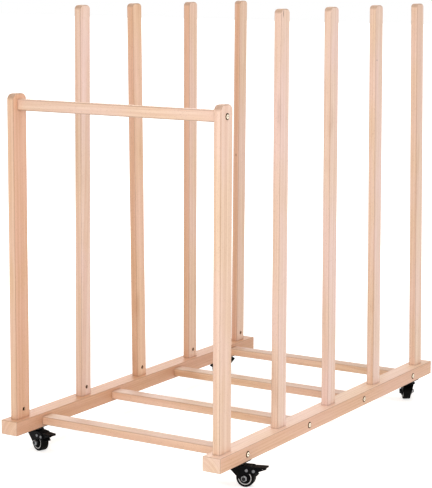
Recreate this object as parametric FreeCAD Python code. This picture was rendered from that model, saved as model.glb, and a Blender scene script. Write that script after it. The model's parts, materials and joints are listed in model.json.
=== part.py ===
import FreeCAD, Part
import math
import os

# Wooden drying rack on four braked swivel casters. Two base rails run front to back, four rungs
# tie them together, and a row of flat posts stands on each rail. The front posts are shorter and
# wider, and carry the push bar. Millimetres, +X right, +Y to the rear, +Z up. The origin is on
# the floor, under the middle of the two rails.

V = FreeCAD.Vector
RIGHT = V(1, 0, 0)
REAR = V(0, 1, 0)
UP = V(0, 0, 1)
DOWN = V(0, 0, -1)
same_place = 0.001            # two directions or places closer than this are one

# ---- base frame ----
rack_length = 1150.0          # rails, front end to rear end
rack_width = 636.0            # over the outer faces of both rails
rail_width = 49.0
rail_height = 36.0
rung_depth = 39.0             # along Y
rung_thickness = 20.0
rung_drop = 9.0               # rung top below rail top
front_rung_inset = 122.5      # rung centre from the rails' front ends
rear_rung_inset = 121.5       # rung centre from the rails' rear ends
rung_count = 4
edge_round = 2.0              # sanded long edges of all sticks

# ---- posts and push bar ----
post_thickness = 19.5         # along X
tall_post_depth = 40.5        # along Y
short_post_depth = 51.0
tall_post_height = 1014.0     # above the rails
short_post_height = 806.0
short_post_inset = 20.0       # front face behind the rails' front ends
post_gap = 218.5              # clear slot between neighbouring posts
rear_post_inset = 36.0        # last post's rear face before the rails' rear ends
tall_post_corner = 15.0       # the broad faces' rounded top corners
short_post_corner = 19.0
post_top_edge = 4.0           # rounding between the broad faces, over the top
post_foot_spare = 2.0         # extra length of the blank, cut off flush with the rail's top
bar_depth = 20.0              # push bar, along Y
bar_height = 27.5
bar_drop = 14.0               # bar top below the short posts' tops
bar_setback = 2.0             # bar centre behind the short posts' centre
bar_edge_round = 3.5

# ---- furniture bolts, cross dowel nuts and wooden dowels ----
bolt_diameter = 6.0
bolt_hole_diameter = 6.6
bolt_head_diameter = 15.0
bolt_head_thickness = 2.4
bolt_head_round = 2.0
spot_face_diameter = 16.6     # shallow seat for the heads on the rails' sides and on the short posts
spot_face_depth = 1.0
bolt_socket_width = 4.0       # hexagon socket across flats
bolt_socket_depth = 2.0
bolt_past_nut = 6.0           # thread end beyond the nut's axis
bolt_hole_past_end = 3.0
counterbore_diameter = 17.0   # for the post bolts' heads, in the rails' undersides
counterbore_depth = 4.0
nut_diameter = 10.0
nut_length = 13.0
nut_slot_width = 1.4
nut_slot_depth = 1.4
nut_hole_clearance = 0.1      # radial
nut_in_post = 21.5            # nut axis above the rail top
nut_in_rung = 32.0            # nut axis from the rung's end
nut_in_bar = 28.0
nut_hole_past = 1.0           # drilled deeper than the nut's inner end
nut_hole_mouth = 1.0          # drill starts this far outside the stick
post_bolt_offset = 2.0        # bolt behind the post's centre
post_dowel_offset = 12.0      # dowel in front of the post's centre
rung_dowel_offset = 12.0      # two dowels, each side of the rung's bolt
bar_dowel_cover = 4.8         # dowel's axis below the bar's top
dowel_diameter = 8.0
dowel_length = 30.0
bar_dowel_diameter = 6.0
bar_dowel_length = 24.0
bar_dowel_in_post = 9.0
dowel_end_chamfer = 0.8
dowel_end_play = 1.0          # air at each end of a dowel in its holes

# ---- caster: plate, ball race, kingpin ----
plate_size_x = 44.0
plate_size_y = 60.0
plate_thickness = 2.5
plate_corner = 5.0
plate_hole_spacing_x = 30.0
plate_hole_spacing_y = 46.0
screw_diameter = 4.0
screw_core_diameter = 3.0
screw_head_diameter = 8.0
screw_head_depth = 2.0
screw_cover = 1.5             # wood between a screw's end and the rung dowels above it
screw_slot_width = 1.0
screw_slot_length = 4.4
screw_slot_depth = 1.2
screw_hole_clearance = 0.25   # radial, in the plate
race_diameter = 35.0
race_height = 3.0             # raised ring under the plate
race_gap = 3.0                # between the plate's ring and the fork's crown
ball_diameter = 5.0
ball_circle_diameter = 25.0
ball_count = 12
ball_clearance = 0.08         # fork groove around the balls
kingpin_diameter = 8.0
kingpin_clearance = 0.08      # radial, crown on kingpin
kingpin_play = 0.3            # under the crown
kingpin_head_diameter = 14.0
kingpin_head_height = 2.5
kingpin_head_chamfer = 1.2

# ---- caster: wheel and axle ----
wheel_diameter = 44.0
wheel_width = 21.0
tyre_shoulder = 2.6
rim_diameter = 35.6
rim_width = 20.0
rim_recess_outer_diameter = 28.0
rim_recess_inner_diameter = 17.0
rim_recess_depth = 3.0
bush_diameter = 12.0
bush_clearance = 0.08         # radial, rim on bush
axle_diameter = 8.0
axle_clearance = 0.1          # radial, bolt in bush and legs
axle_head_flats = 13.0
axle_head_height = 5.0
axle_end_past_nut = 1.2
axle_nut_flats = 13.0
axle_nut_height = 6.5
axle_nut_collar_height = 2.0
axle_nut_collar_diameter = 11.0

# ---- caster: fork ----
trail = 21.0                  # axle behind the kingpin
crown_thickness = 2.5
crown_diameter = 42.0
tyre_under_crown = 5.0        # air over the tyre
leg_thickness = 2.0
leg_wheel_gap = 1.5           # each side of the wheel
axle_boss_radius = 11.0
ear_radius = 6.5
toe_height = 3.5              # front edge of the leg, crown's top down
leg_back_reach = 8.0          # rear edge of the leg behind the axle, beside the tyre's top
leg_back_height = 11.5        # that edge above the axle
stop_rivet_reach = 5.0        # short rivet behind the axle
stop_rivet_height = 19.5      # and above the axle
rivet_diameter = 4.0
rivet_head_diameter = 8.0
rivet_head_height = 1.8
rivet_head_round = 1.4

# ---- caster: brake lever ----
pivot_gap = 7.05              # pivot's axis to the tyre
pivot_angle = 40.84           # degrees above the horizontal, seen from the axle
pivot_clearance = 0.08        # radial, lever on its pin
lever_sheet = 1.5
lever_side_gap = 0.5          # lever flange to fork ear
lever_front_gap = 1.0         # lever's top to the crown
lever_crown_step = 5.0        # crown's rear edge before the pivot
lever_reach = 31.0            # tip behind the pivot
lever_top_height = 9.5        # top's front edge above the pivot
lever_tip_height = 10.5
lever_tip_lip = 2.6
lever_tip_corner = 3.0
lever_hub_radius = 5.6
lever_belly_reach = 13.5      # flange's lower corner behind the pivot
lever_belly_height = -0.5     # and above it
lever_throat_reach = 6.0      # flange's lower edge under the hub
lever_throat_drop = 4.2
tab_reach = 6.4               # release tab's lower end behind the pivot
tab_drop = 12.3               # and below it
tab_length = 10.0             # from there up into the hub
tab_slope = 56.0              # degrees below the horizontal
slot_length = 4.6             # windows in the lever's flanges
slot_width = 2.0
slot_reaches = (12.0, 20.0)   # behind the pivot
slot_below_top = 3.1
brake_gap_on = 0.5            # brake cam to tyre with the brake on
lever_travel = 18.0           # degrees, off to on
cam_tip_width = 2.4

# each caster's name, side and end of the rack, kingpin from that end of the rail, kingpin outside
# the rail's centre line, and resting swivel angle from +X towards +Y
casters = (
    ("front_right", 1, -1, 117.5, 0.0, 13.0),
    ("front_left", -1, -1, 109.5, 2.5, -18.0),
    ("rear_right", 1, 1, 104.0, 0.0, 124.0),
    ("rear_left", -1, 1, 116.0, 2.5, 240.0),
)

# sideways lean of the posts off plumb, degrees towards +X, from the push bar's end to the rear
post_leans = {
    -1: (0.0, 0.28, -0.76, 0.0, 0.30),
    1: (0.0, 0.0, -0.26, -0.51, -0.86),
}

# ---- derived levels and lines ----
crown_top_drop = plate_thickness + race_height + race_gap
crown_bottom_drop = crown_top_drop + crown_thickness
ball_drop = plate_thickness + race_height + race_gap / 2
axle_drop = crown_bottom_drop + tyre_under_crown + wheel_diameter / 2
caster_height = axle_drop + wheel_diameter / 2
rail_bottom = caster_height
rail_top = rail_bottom + rail_height
rail_centre_x = (rack_width - rail_width) / 2
inner_half_width = rack_width / 2 - rail_width
front_y = -rack_length / 2
rear_y = rack_length / 2
rung_top = rail_top - rung_drop
rung_centre_z = rung_top - rung_thickness / 2
screw_reach = rung_centre_z - dowel_diameter / 2 - screw_cover - rail_bottom
first_rung_y = front_y + front_rung_inset
last_rung_y = rear_y - rear_rung_inset
rung_pitch = (last_rung_y - first_rung_y) / (rung_count - 1)
rung_lines = [first_rung_y + i * rung_pitch for i in range(rung_count)]
short_post_y = front_y + short_post_inset + short_post_depth / 2
second_post_y = short_post_y + short_post_depth / 2 + post_gap + tall_post_depth / 2
post_pitch = tall_post_depth + post_gap
last_post_y = rear_y - rear_post_inset - tall_post_depth / 2
post_lines = [short_post_y, second_post_y, second_post_y + post_pitch,
              second_post_y + 2 * post_pitch, last_post_y]
bar_y = short_post_y + bar_setback
bar_z = rail_top + short_post_height - bar_drop - bar_height / 2
bar_half_length = rail_centre_x - post_thickness / 2
bar_dowel_z = bar_z + bar_height / 2 - bar_dowel_cover
bar_seat_x = rail_centre_x + post_thickness / 2 - spot_face_depth
bar_grip = post_thickness - spot_face_depth + nut_in_bar
leg_inner = wheel_width / 2 + leg_wheel_gap
leg_outer = leg_inner + leg_thickness


def cylinder(radius, height, base, direction):
    return Part.makeCylinder(radius, height, base, direction)


def block(size_x, size_y, size_z, centre):
    corner = V(centre.x - size_x / 2, centre.y - size_y / 2, centre.z - size_z / 2)
    return Part.makeBox(size_x, size_y, size_z, corner)


def edges_along(shape, direction):
    found = []
    for edge in shape.Edges:
        if edge.Curve.TypeId != "Part::GeomLine":
            continue
        if edge.tangentAt(edge.FirstParameter).cross(direction).Length < same_place:
            found.append(edge)
    return found


def stick(size_x, size_y, size_z, centre, direction, radius):
    bar = block(size_x, size_y, size_z, centre)
    return bar.makeFillet(radius, edges_along(bar, direction))


def prism(points, sweep):
    # closed polygon swept out of its plane
    wire = Part.makePolygon(points + [points[0]])
    return Part.Face(wire).extrude(sweep)


def circle_edges(shape):
    return [edge for edge in shape.Edges if edge.Curve.TypeId == "Part::GeomCircle"]


nodes = {}


def add(name, shape):
    nodes[name] = shape


# ---- fastener shapes, built along their own axis ----
def hexagon(flats, height, base, direction):
    radius = flats / math.sqrt(3)
    turns = [math.radians(60 * k) for k in range(6)]
    solid = prism([V(radius * math.cos(t), radius * math.sin(t), 0) for t in turns], V(0, 0, height))
    solid.Placement = FreeCAD.Placement(base, FreeCAD.Rotation(UP, direction))
    return solid


def furniture_bolt(seat, direction, grip):
    # seat is the centre of the face that the head lies on, direction points into the wood
    back = direction * -1
    head = cylinder(bolt_head_diameter / 2, bolt_head_thickness, seat, back)
    rim_edges = [e for e in circle_edges(head)
                 if (e.Curve.Center - seat).dot(back) > bolt_head_thickness / 2]
    head = head.makeFillet(bolt_head_round, rim_edges)
    shank = cylinder(bolt_diameter / 2, grip + bolt_past_nut, seat, direction)
    socket = hexagon(bolt_socket_width, bolt_socket_depth, seat + back * bolt_head_thickness, direction)
    return head.fuse(shank).removeSplitter().cut(socket)


def bolt_hole(seat, direction, grip):
    length = grip + bolt_past_nut + bolt_hole_past_end
    return cylinder(bolt_hole_diameter / 2, length, seat, direction)


def cross_nut(centre, nut_axis, bolt_axis):
    # drawn along Z with its bore along X and a screwdriver slot in its lower end, then placed
    body = cylinder(nut_diameter / 2, nut_length, V(0, 0, -nut_length / 2), UP)
    body = body.cut(cylinder(bolt_diameter / 2, nut_diameter, V(-nut_diameter / 2, 0, 0), RIGHT))
    body = body.cut(block(nut_diameter, nut_slot_width, 2 * nut_slot_depth, V(0, 0, -nut_length / 2)))
    turn = FreeCAD.Rotation(bolt_axis, nut_axis.cross(bolt_axis), nut_axis)
    body.Placement = FreeCAD.Placement(centre, turn)
    return body


def nut_hole(centre, nut_axis, face_distance):
    # blind hole into the face that lies face_distance back along the nut's axis
    mouth = face_distance + nut_hole_mouth
    depth = mouth + nut_length / 2 + nut_hole_past
    start = centre - nut_axis * mouth
    return cylinder(nut_diameter / 2 + nut_hole_clearance, depth, start, nut_axis)


def spot_face(seat, outward):
    return cylinder(spot_face_diameter / 2, 2 * spot_face_depth, seat, outward)


def dowel(centre, direction, diameter, length):
    start = centre - direction * (length / 2)
    solid = cylinder(diameter / 2, length, start, direction)
    return solid.makeChamfer(dowel_end_chamfer, circle_edges(solid))


def dowel_hole(centre, direction, diameter, length):
    reach = length / 2 + dowel_end_play
    return cylinder(diameter / 2, 2 * reach, centre - direction * reach, direction)


rail_cuts = {-1: [], 1: []}
rung_bolts = []
post_bolts = []
bar_bolts = []
cross_nuts = []
dowels = []
bar_dowels = []

# ---- rungs with their bolts, nuts and dowels ----
for number, y in enumerate(rung_lines, start=1):
    rung = stick(2 * inner_half_width, rung_depth, rung_thickness, V(0, y, rung_centre_z),
                 RIGHT, edge_round)
    for side in (-1, 1):
        inward = V(-side, 0, 0)
        seat = V(side * (rack_width / 2 - spot_face_depth), y, rung_centre_z)
        grip = rail_width - spot_face_depth + nut_in_rung
        rung_bolts.append(furniture_bolt(seat, inward, grip))
        hole = bolt_hole(seat, inward, grip)
        rail_cuts[side].append(hole)
        rail_cuts[side].append(spot_face(seat, inward * -1))
        rung = rung.cut(hole)
        nut_centre = V(side * (inner_half_width - nut_in_rung), y, rung_centre_z)
        cross_nuts.append(cross_nut(nut_centre, UP, RIGHT))
        rung = rung.cut(nut_hole(nut_centre, UP, rung_thickness / 2))
        for offset in (-rung_dowel_offset, rung_dowel_offset):
            joint = V(side * inner_half_width, y + offset, rung_centre_z)
            dowels.append(dowel(joint, RIGHT, dowel_diameter, dowel_length))
            hole = dowel_hole(joint, RIGHT, dowel_diameter, dowel_length)
            rail_cuts[side].append(hole)
            rung = rung.cut(hole)
    add("rung_%d" % number, rung)


# ---- posts ----
def post_blank(x, y, depth, height, corner, lean):
    length = height + post_foot_spare
    middle = V(x, y, rail_top + height - length / 2)
    blank = stick(post_thickness, depth, length, middle, UP, edge_round)
    # round the top over both ways
    cap_x = block(post_thickness, depth, length, middle)
    top_edges = [e for e in edges_along(cap_x, REAR) if e.CenterOfMass.z > middle.z]
    cap_x = cap_x.makeFillet(post_top_edge, top_edges)
    cap_y = block(post_thickness, depth, length, middle)
    top_edges = [e for e in edges_along(cap_y, RIGHT) if e.CenterOfMass.z > middle.z]
    cap_y = cap_y.makeFillet(corner, top_edges)
    blank = blank.common(cap_x).common(cap_y)
    # lean it about the middle of its foot, then cut the foot flush with the rail's top
    blank.rotate(V(x, y, rail_top), REAR, lean)
    below = V(x, y, rail_top - rail_height / 2)
    return blank.cut(block(rail_width, 2 * depth, rail_height, below))


for side, side_name in ((-1, "left"), (1, "right")):
    x = side * rail_centre_x
    inward = V(-side, 0, 0)
    for number, y in enumerate(post_lines, start=1):
        short = number == 1
        depth = short_post_depth if short else tall_post_depth
        height = short_post_height if short else tall_post_height
        corner = short_post_corner if short else tall_post_corner
        post = post_blank(x, y, depth, height, corner, post_leans[side][number - 1])
        # bolt up through the rail into a cross nut
        seat = V(x, y + post_bolt_offset, rail_bottom + counterbore_depth)
        grip = rail_height - counterbore_depth + nut_in_post
        post_bolts.append(furniture_bolt(seat, UP, grip))
        hole = bolt_hole(seat, UP, grip)
        recess = cylinder(counterbore_diameter / 2, counterbore_depth,
                          seat - V(0, 0, counterbore_depth), UP)
        rail_cuts[side].append(hole)
        rail_cuts[side].append(recess)
        post = post.cut(hole)
        nut_centre = V(x, y + post_bolt_offset, rail_top + nut_in_post)
        outward = inward * -1
        cross_nuts.append(cross_nut(nut_centre, outward, UP))
        post = post.cut(nut_hole(nut_centre, outward, post_thickness / 2))
        joint = V(x, y - post_dowel_offset, rail_top)
        dowels.append(dowel(joint, UP, dowel_diameter, dowel_length))
        hole = dowel_hole(joint, UP, dowel_diameter, dowel_length)
        rail_cuts[side].append(hole)
        post = post.cut(hole)
        if short:
            # push bar's bolt and dowel
            seat = V(side * bar_seat_x, bar_y, bar_z)
            bar_bolts.append(furniture_bolt(seat, inward, bar_grip))
            post = post.cut(bolt_hole(seat, inward, bar_grip))
            post = post.cut(spot_face(seat, outward))
            reach = bar_dowel_length / 2 - bar_dowel_in_post
            joint = V(side * (bar_half_length - reach), bar_y, bar_dowel_z)
            bar_dowels.append(dowel(joint, RIGHT, bar_dowel_diameter, bar_dowel_length))
            post = post.cut(dowel_hole(joint, RIGHT, bar_dowel_diameter, bar_dowel_length))
        add("post_%s_%d" % (side_name, number), post)

# ---- push bar ----
bar = stick(2 * bar_half_length, bar_depth, bar_height, V(0, bar_y, bar_z), RIGHT, bar_edge_round)
for side in (-1, 1):
    inward = V(-side, 0, 0)
    bar = bar.cut(bolt_hole(V(side * bar_seat_x, bar_y, bar_z), inward, bar_grip))
    nut_centre = V(side * (bar_half_length - nut_in_bar), bar_y, bar_z)
    cross_nuts.append(cross_nut(nut_centre, UP, RIGHT))
    bar = bar.cut(nut_hole(nut_centre, UP, bar_height / 2))
    reach = bar_dowel_length / 2 - bar_dowel_in_post
    joint = V(side * (bar_half_length - reach), bar_y, bar_dowel_z)
    bar = bar.cut(dowel_hole(joint, RIGHT, bar_dowel_diameter, bar_dowel_length))
add("push_bar", bar)


# ---- caster plates, kingpins, balls and screws, fixed to the rails ----
def caster_top(side, end, inset, outset):
    return V(side * (rail_centre_x + outset), end * (rack_length / 2 - inset), rail_bottom)


def plate_hole_spots(top):
    spots = []
    for sx in (-1, 1):
        for sy in (-1, 1):
            spots.append(top + V(sx * plate_hole_spacing_x / 2, sy * plate_hole_spacing_y / 2, 0))
    return spots


def screw(top):
    # countersunk head flush with the plate's underside, shank up into the rail
    face = top - V(0, 0, plate_thickness)
    head = Part.makeCone(screw_head_diameter / 2, screw_diameter / 2, screw_head_depth, face, UP)
    neck = cylinder(screw_diameter / 2, plate_thickness - screw_head_depth,
                    face + V(0, 0, screw_head_depth), UP)
    shank = cylinder(screw_core_diameter / 2, screw_reach, top, UP)
    solid = head.fuse(neck).fuse(shank)
    for size_x, size_y in ((screw_slot_length, screw_slot_width), (screw_slot_width, screw_slot_length)):
        solid = solid.cut(block(size_x, size_y, 2 * screw_slot_depth, face))
    return solid


def ball_ring(top):
    balls = []
    for k in range(ball_count):
        turn = 2 * math.pi * k / ball_count
        radius = ball_circle_diameter / 2
        spot = top + V(radius * math.cos(turn), radius * math.sin(turn), -ball_drop)
        balls.append(Part.makeSphere(ball_diameter / 2, spot))
    return balls


def groove(centre, clearance):
    return Part.makeTorus(ball_circle_diameter / 2, ball_diameter / 2 + clearance, centre, UP)


def plate(top):
    body = block(plate_size_x, plate_size_y, plate_thickness, top - V(0, 0, plate_thickness / 2))
    body = body.makeFillet(plate_corner, edges_along(body, UP))
    ring = cylinder(race_diameter / 2, race_height, top - V(0, 0, plate_thickness), DOWN)
    body = body.fuse(ring).removeSplitter()
    body = body.cut(groove(top - V(0, 0, ball_drop), 0))
    body = body.cut(cylinder(kingpin_diameter / 2, plate_thickness + race_height, top, DOWN))
    for spot in plate_hole_spots(top):
        radius = screw_diameter / 2 + screw_hole_clearance
        body = body.cut(cylinder(radius, plate_thickness, spot, DOWN))
        sink = Part.makeCone(screw_head_diameter / 2 + screw_hole_clearance, radius, screw_head_depth,
                             spot - V(0, 0, plate_thickness), UP)
        body = body.cut(sink)
    return body


def kingpin(top):
    reach = crown_bottom_drop + kingpin_play
    shaft = cylinder(kingpin_diameter / 2, reach, top, DOWN)
    head = cylinder(kingpin_head_diameter / 2, kingpin_head_height, top - V(0, 0, reach), DOWN)
    low = top.z - reach - kingpin_head_height / 2
    rim_edges = [e for e in circle_edges(head) if e.Curve.Center.z < low]
    head = head.makeChamfer(kingpin_head_chamfer, rim_edges)
    return shaft.fuse(head).removeSplitter()


plates = []
kingpins = []
balls = []
screws = []
for caster_name, side, end, inset, outset, angle in casters:
    top = caster_top(side, end, inset, outset)
    plates.append(plate(top))
    kingpins.append(kingpin(top))
    balls.extend(ball_ring(top))
    for spot in plate_hole_spots(top):
        screws.append(screw(spot))
        pilot = cylinder(screw_core_diameter / 2, screw_reach, spot, UP)
        rail_cuts[side].append(pilot)
add("caster_plates", Part.makeCompound(plates))
add("caster_kingpins", Part.makeCompound(kingpins))
add("caster_balls", Part.makeCompound(balls))
add("caster_screws", Part.makeCompound(screws))

# ---- base rails, with every hole that the other pieces ask for ----
for side, side_name in ((-1, "left"), (1, "right")):
    middle = V(side * rail_centre_x, 0, rail_bottom + rail_height / 2)
    rail = block(rail_width, rack_length, rail_height, middle)
    rail = rail.makeFillet(edge_round, rail.Edges)
    for cut in rail_cuts[side]:
        rail = rail.cut(cut)
    add("base_rail_%s" % side_name, rail)

add("rung_bolts", Part.makeCompound(rung_bolts))
add("post_bolts", Part.makeCompound(post_bolts))
add("push_bar_bolts", Part.makeCompound(bar_bolts))
add("cross_dowel_nuts", Part.makeCompound(cross_nuts))
add("wood_dowels", Part.makeCompound(dowels))
add("push_bar_dowels", Part.makeCompound(bar_dowels))

# ---- turning parts of a caster ----
# They are drawn with the kingpin on the Z axis, the rail's underside at z = 0 and the wheel
# trailing along +X, and are then turned to the caster's resting angle.
axle_spot = V(trail, 0, -axle_drop)
pivot_reach = wheel_diameter / 2 + pivot_gap
pivot_turn = math.radians(pivot_angle)
pivot_spot = axle_spot + V(pivot_reach * math.cos(pivot_turn), 0, pivot_reach * math.sin(pivot_turn))
stop_spot = axle_spot + V(stop_rivet_reach, 0, stop_rivet_height)
crown_front_x = -crown_diameter / 2
crown_rear_x = pivot_spot.x - lever_crown_step


def across(radius, y_low, y_high, centre):
    return cylinder(radius, y_high - y_low, V(centre.x, y_low, centre.z), REAR)


def sheet(points, y_low, thickness):
    # flat piece in the XZ plane, given by its outline
    return prism([V(x, y_low, z) for x, z in points], V(0, thickness, 0))


def tangent_point(start, centre, radius, turn_sign):
    # where a line from start touches the circle, in the XZ plane
    dx = centre.x - start[0]
    dz = centre.z - start[1]
    reach = math.hypot(dx, dz)
    aim = math.atan2(dz, dx) + turn_sign * math.asin(radius / reach)
    length = math.sqrt(reach ** 2 - radius ** 2)
    return (start[0] + length * math.cos(aim), start[1] + length * math.sin(aim))


def fork_leg(y_low):
    toe = (crown_front_x, -crown_top_drop - toe_height)
    heel = (trail + leg_back_reach, -axle_drop + leg_back_height)
    ear_top = (crown_rear_x, -crown_top_drop)
    outline = [
        (crown_front_x, -crown_top_drop),
        toe,
        tangent_point(toe, axle_spot, axle_boss_radius, -1),
        (axle_spot.x, axle_spot.z),
        tangent_point(heel, axle_spot, axle_boss_radius, 1),
        heel,
        tangent_point(heel, pivot_spot, ear_radius, -1),
        (pivot_spot.x, pivot_spot.z),
        tangent_point(ear_top, pivot_spot, ear_radius, 1),
        ear_top,
    ]
    leg = sheet(outline, y_low, leg_thickness)
    leg = leg.fuse(across(axle_boss_radius, y_low, y_low + leg_thickness, axle_spot))
    leg = leg.fuse(across(ear_radius, y_low, y_low + leg_thickness, pivot_spot))
    return leg


def fork():
    low = -crown_bottom_drop
    length = crown_rear_x - crown_front_x
    middle = V(crown_front_x + length / 2, 0, low + crown_thickness / 2)
    body = block(length, 2 * leg_outer, crown_thickness, middle)
    body = body.fuse(cylinder(crown_diameter / 2, crown_thickness, V(0, 0, low), UP))
    body = body.fuse(fork_leg(-leg_outer)).fuse(fork_leg(leg_inner))
    body = body.removeSplitter()
    body = body.cut(groove(V(0, 0, -ball_drop), ball_clearance))
    body = body.cut(cylinder(kingpin_diameter / 2 + kingpin_clearance, crown_bottom_drop, V(0, 0, 0), DOWN))
    body = body.cut(across(axle_diameter / 2 + axle_clearance, -leg_outer, leg_outer, axle_spot))
    for spot in (pivot_spot, stop_spot):
        body = body.cut(across(rivet_diameter / 2, -leg_outer, leg_outer, spot))
    return body


def rivet_head(spot, outward):
    # low domed head on the outside of a leg
    base = V(spot.x, outward * leg_outer, spot.z)
    head = cylinder(rivet_head_diameter / 2, rivet_head_height, base, V(0, outward, 0))
    crest = [e for e in circle_edges(head) if abs(e.Curve.Center.y) > leg_outer + rivet_head_height / 2]
    return head.makeFillet(rivet_head_round, crest)


def rivets():
    # the lever's pin runs through both ears, the stop rivets end inside their legs
    pin = across(rivet_diameter / 2, -leg_outer, leg_outer, pivot_spot)
    pin = pin.fuse(rivet_head(pivot_spot, -1)).fuse(rivet_head(pivot_spot, 1)).removeSplitter()
    solids = [pin]
    for outward, low in ((-1, -leg_outer), (1, leg_inner)):
        stub = across(rivet_diameter / 2, low, low + leg_thickness, stop_spot)
        solids.append(stub.fuse(rivet_head(stop_spot, outward)).removeSplitter())
    return Part.makeCompound(solids)


def axle_bolt():
    start = axle_spot + V(0, leg_outer, 0)
    length = 2 * leg_outer + axle_nut_height + axle_end_past_nut
    shank = cylinder(axle_diameter / 2, length, start, V(0, -1, 0))
    head = hexagon(axle_head_flats, axle_head_height, start, REAR)
    return shank.fuse(head).removeSplitter()


def axle_nut():
    start = axle_spot + V(0, -leg_outer, 0)
    outward = V(0, -1, 0)
    body = hexagon(axle_nut_flats, axle_nut_height - axle_nut_collar_height, start, outward)
    body = body.fuse(cylinder(axle_nut_collar_diameter / 2, axle_nut_height, start, outward))
    return body.removeSplitter().cut(cylinder(axle_diameter / 2, axle_nut_height, start, outward))


def axle_bush():
    # clamped between the legs, the rim turns on it
    body = across(bush_diameter / 2, -leg_inner, leg_inner, axle_spot)
    return body.cut(across(axle_diameter / 2 + axle_clearance, -leg_inner, leg_inner, axle_spot))


def wheel_rim():
    half = rim_width / 2
    body = across(rim_diameter / 2, -half, half, axle_spot)
    for low, high in ((-half, -half + rim_recess_depth), (half - rim_recess_depth, half)):
        recess = across(rim_recess_outer_diameter / 2, low, high, axle_spot)
        recess = recess.cut(across(rim_recess_inner_diameter / 2, low, high, axle_spot))
        body = body.cut(recess)
    return body.cut(across(bush_diameter / 2 + bush_clearance, -half, half, axle_spot))


def wheel_tyre():
    half = wheel_width / 2
    body = across(wheel_diameter / 2, -half, half, axle_spot)
    body = body.makeFillet(tyre_shoulder, circle_edges(body))
    return body.cut(across(rim_diameter / 2, -half, half, axle_spot))


def brake_lever():
    outer = leg_inner - lever_side_gap
    start_x = crown_rear_x + lever_front_gap
    top_z = pivot_spot.z + lever_top_height
    tip_x = pivot_spot.x + lever_reach
    tip_z = pivot_spot.z + lever_tip_height
    slope = (tip_z - top_z) / (tip_x - start_x)
    # top skin
    skin_side = [
        (start_x, top_z),
        (tip_x, tip_z),
        (tip_x, tip_z - lever_sheet),
        (start_x, top_z - lever_sheet),
    ]
    body = sheet(skin_side, -outer, 2 * outer)
    # flanges down to the pin on both sides
    hub = (pivot_spot.x, pivot_spot.z)
    belly = (pivot_spot.x + lever_belly_reach, pivot_spot.z + lever_belly_height)
    throat = (pivot_spot.x + lever_throat_reach, pivot_spot.z - lever_throat_drop)
    flange_outline = [
        (start_x, top_z),
        (tip_x, tip_z),
        (tip_x, tip_z - lever_sheet - lever_tip_lip),
        belly,
        throat,
        tangent_point(throat, pivot_spot, lever_hub_radius, -1),
        hub,
        (start_x, pivot_spot.z),
    ]
    # release tab, a plate from the hub down and back, over the full width
    tab_turn = math.radians(tab_slope)
    tab_along = V(math.cos(tab_turn), 0, -math.sin(tab_turn))
    tab_half = V(math.sin(tab_turn), 0, math.cos(tab_turn)) * (lever_sheet / 2)
    tab_end = V(pivot_spot.x + tab_reach, 0, pivot_spot.z - tab_drop)
    tab_root = tab_end - tab_along * tab_length
    tab_side = [tab_end + tab_half, tab_end - tab_half, tab_root - tab_half, tab_root + tab_half]
    body = body.fuse(sheet([(p.x, p.z) for p in tab_side], -outer, 2 * outer))
    # cam that bears on the tyre, pointing at the axle when the lever is down
    cam_reach = pivot_gap - brake_gap_on
    cam_turn = math.pi + pivot_turn + math.radians(lever_travel)
    tip = V(pivot_spot.x + cam_reach * math.cos(cam_turn), 0, pivot_spot.z + cam_reach * math.sin(cam_turn))
    cam_axis = tip - V(pivot_spot.x, 0, pivot_spot.z)
    cam_side = V(-cam_axis.z, 0, cam_axis.x).normalize()
    foot = cam_side * lever_hub_radius
    nose = cam_side * (cam_tip_width / 2)
    shoulder = cam_axis * (1 - cam_tip_width / 2 / cam_axis.Length)
    middle = V(pivot_spot.x, 0, pivot_spot.z)
    corners = [middle + foot, middle + shoulder + nose, middle + shoulder - nose, middle - foot]
    cam = sheet([(p.x, p.z) for p in corners], -outer, 2 * outer)
    cam = cam.fuse(across(cam_tip_width / 2, -outer, outer, middle + shoulder))
    cam = cam.fuse(across(lever_hub_radius, -outer, outer, pivot_spot))
    body = body.fuse(cam)
    for low in (-outer, outer - lever_sheet):
        body = body.fuse(sheet(flange_outline, low, lever_sheet))
    body = body.removeSplitter()
    body = body.cut(across(rivet_diameter / 2 + pivot_clearance, -outer, outer, pivot_spot))
    for reach in slot_reaches:
        x = pivot_spot.x + reach
        z = top_z + slope * (x - start_x) - slot_below_top
        half = (slot_length - slot_width) / 2
        window = block(2 * half, 2 * outer, slot_width, V(x, 0, z))
        window = window.fuse(across(slot_width / 2, -outer, outer, V(x - half, 0, z)))
        window = window.fuse(across(slot_width / 2, -outer, outer, V(x + half, 0, z)))
        body = body.cut(window)
    # the tip's corners are rounded in plan
    tip_corners = [e for e in edges_along(body, UP)
                   if abs(e.CenterOfMass.x - tip_x) < same_place
                   and abs(abs(e.CenterOfMass.y) - outer) < same_place]
    return body.makeFillet(lever_tip_corner, tip_corners)


turning_parts = {
    "fork": fork(),
    "fork_rivets": rivets(),
    "axle_bolt": axle_bolt(),
    "axle_nut": axle_nut(),
    "axle_bush": axle_bush(),
    "brake_lever": brake_lever(),
    "wheel_rim": wheel_rim(),
    "tyre": wheel_tyre(),
}
for caster_name, side, end, inset, outset, angle in casters:
    resting = FreeCAD.Placement(caster_top(side, end, inset, outset), FreeCAD.Rotation(UP, angle))
    for part_name, shape in turning_parts.items():
        placed = shape.copy()
        placed.Placement = resting
        add("%s_%s" % (part_name, caster_name), placed)

# ---- files ----
os.makedirs("parts", exist_ok=True)
for name, shape in nodes.items():
    if not shape.isValid():
        print("not valid:", name)
    shape.exportStep("parts/%s.step" % name)
print(len(nodes), "nodes")
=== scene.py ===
import bpy
import json
import math
from mathutils import Matrix, Vector


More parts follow.
